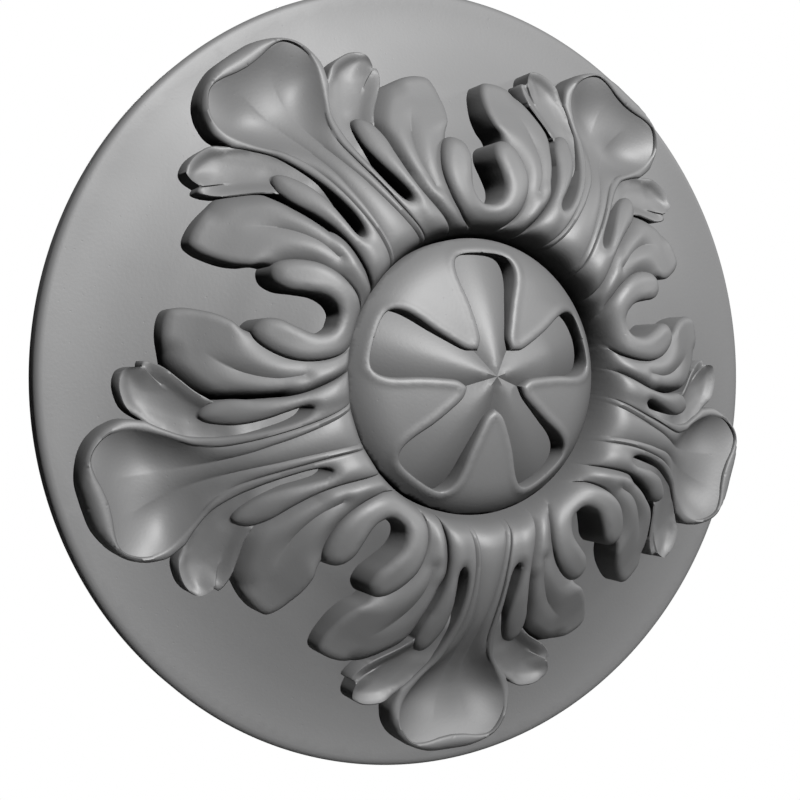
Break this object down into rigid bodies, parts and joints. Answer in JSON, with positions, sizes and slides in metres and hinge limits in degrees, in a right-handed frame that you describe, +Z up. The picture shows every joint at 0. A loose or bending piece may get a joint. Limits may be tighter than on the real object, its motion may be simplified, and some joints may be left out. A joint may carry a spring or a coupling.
{
  "type": "decorative rosette",
  "caption": "Round wall rosette in deep relief: acanthus leaves and C-scrolls round a domed boss with a sunk petal flower, on a gently domed round disc.",
  "frame": {"origin": "centre of the flat back face, which lies against the wall", "axes": "+Z up as hung, with one leaf pointing straight down; +Y into the wall, out of the back face; the carving faces -Y; +X to the right as seen from the front"},
  "size_m": [0.3, 0.0624, 0.3],
  "materials": {
    "grey_plaster": "matt, softly burnished"
  },
  "bodies": {
    "root": {"rosette": "grey_plaster"}
  },
  "joints": []
}
